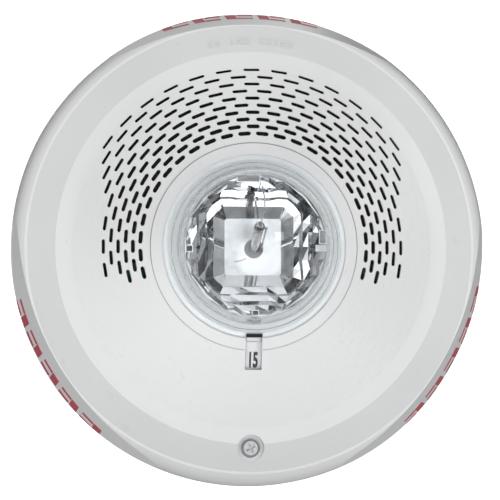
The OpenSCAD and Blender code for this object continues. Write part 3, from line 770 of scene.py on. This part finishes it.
# Each glow: direction, cosines where it starts and is full, brightness outside and inside it. The floor's
# shade multiplies the sum of the glows, and its shine is added after that.
FLOOR_SHADE = ((0.1, -1.0, 0.05), 0.93, 0.975, 1.0, 0.36)
FLOOR_SHINE = ((0.07, -1.0, 0.05), 0.982, 0.9985, 0.0, 0.9)
WORLD_GLOWS = [
    ((0.0, -1.0, -0.38), 0.77, 0.88, 0.0, 2.25),
    ((0.0, -0.83, 0.56), 0.975, 0.99, 0.0, 1.0),
    ((0.0, -0.454, 0.891), 0.93, 0.965, 0.0, 0.8),
    ((0.891, -0.454, 0.0), 0.92, 0.97, 0.0, 0.35),
    ((-0.891, -0.454, 0.0), 0.92, 0.97, 0.0, 0.4),
    ((0.63, -0.454, 0.63), 0.94, 0.97, 0.0, 0.6),
    ((-0.63, -0.454, 0.63), 0.94, 0.97, 0.0, 0.5),
    ((0.0, 1.0, 0.0), 0.97, 0.985, 0.0, 1.2),
]


def make_stage():
    """Pale floor below and behind the object."""
    size, drop, front = 6.0, 0.16, 0.27
    low = cad_box[0].z - drop
    mesh = bpy.data.meshes.new("floor")
    corners = [(-size, -front, low), (size, -front, low), (size, size, low), (-size, size, low)]
    mesh.from_pydata(corners, [], [(0, 1, 2, 3)])
    mesh.materials.append(moulded("floor_paint", (0.86, 0.86, 0.86), 0.7, 60.0, 0.02, 0.01))
    add_object("floor", mesh)


def make_world():
    """White behind the object; in front a wide soft glow, a little below the axis, in a dim surround."""
    world = bpy.data.worlds.new("studio")
    world.use_nodes = True
    bpy.context.scene.world = world
    tree = world.node_tree
    background = tree.nodes["Background"]
    ray = tree.nodes.new("ShaderNodeTexCoord").outputs["Generated"]

    def soft_step(source, start, end, dark, light):
        step = spread(tree, source, start, end, dark, light)
        step.interpolation_type = "SMOOTHSTEP"
        return step.outputs["Result"]

    def glow(direction, start, full, dark, light):
        """Brightness that goes from dark to light as a ray turns towards the direction."""
        dot = add_node(tree, "ShaderNodeVectorMath", {1: Vector(direction).normalized()})
        dot.operation = "DOT_PRODUCT"
        tree.links.new(ray, dot.inputs[0])
        return soft_step(dot.outputs["Value"], start, full, dark, light)

    def combine(first, second, operation="ADD"):
        math_node = tree.nodes.new("ShaderNodeMath")
        math_node.operation = operation
        tree.links.new(first, math_node.inputs[0])
        tree.links.new(second, math_node.inputs[1])
        return math_node.outputs["Value"]

    total = glow(*WORLD_GLOWS[0])
    for part in WORLD_GLOWS[1:]:
        total = combine(total, glow(*part))
    total = combine(total, glow(*FLOOR_SHADE), "MULTIPLY")
    total = combine(total, glow(*FLOOR_SHINE))
    patches = add_node(tree, "ShaderNodeTexNoise", {"Scale": 2.6, "Detail": 1.0})
    tree.links.new(ray, patches.inputs["Vector"])
    room = soft_step(patches.outputs["Fac"], 0.46, 0.56, 0.02, 0.3)
    tree.links.new(combine(total, room), background.inputs["Color"])
    background.inputs["Strength"].default_value = 1.0


def aim(obj, at, direction):
    """Stand a light or camera at a point, looking along the direction."""
    obj.location = at
    obj.rotation_mode = "QUATERNION"
    obj.rotation_quaternion = direction.to_track_quat("-Z", "Y")


def area_light(name, at, size, energy, target=(0, 0, 0)):
    """A square soft light, size metres wide, aimed at the target."""
    light = bpy.data.lights.new(name, "AREA")
    light.energy = energy
    light.shape = "RECTANGLE"
    light.size = light.size_y = size
    aim(add_object(name, light), at, Vector(target) - Vector(at))


def make_lights():
    area_light("key", (1.3, -2.3, 0.5), 0.6, 2.5)
    area_light("low", (-0.5, -2.2, -1.1), 1.2, 3.0)
    area_light("back", (0.0, 2.8, 1.4), 1.5, 14.0, (0.0, 0.2, -0.25))


def make_camera():
    """Long lens, a little left of and below the axis, framing the rim as the view needs."""
    azimuth, elevation, distance = math.radians(-5.9), math.radians(-2.7), 3.0
    frame_width, sensor = 0.1827, 36.0
    target = wall(0.9, -0.2, 6.0)
    back = Vector((math.sin(azimuth) * math.cos(elevation),
                   -math.cos(azimuth) * math.cos(elevation), math.sin(elevation)))
    data = bpy.data.cameras.new("camera")
    data.sensor_width = sensor
    data.lens = sensor * distance / frame_width
    data.clip_start, data.clip_end = 0.1, 30.0
    camera = add_object("camera", data)
    aim(camera, target + back * distance, -back)
    bpy.context.scene.camera = camera
    bpy.context.scene.view_settings.view_transform = "Standard"


paint_cad_nodes()
make_lens()
make_label_tab()
make_reflector()
make_reflector_rim()
make_reflector_floor()
make_lens_gasket()
make_pad_marks()
make_raised_marks()
make_candela_digits()
make_label_bar()
make_label_backing()
make_collar_line()
make_reflector_clips()
make_tube_end()
make_trigger_lead()
make_floor_lead()
make_stage()
make_world()
make_lights()
make_camera()
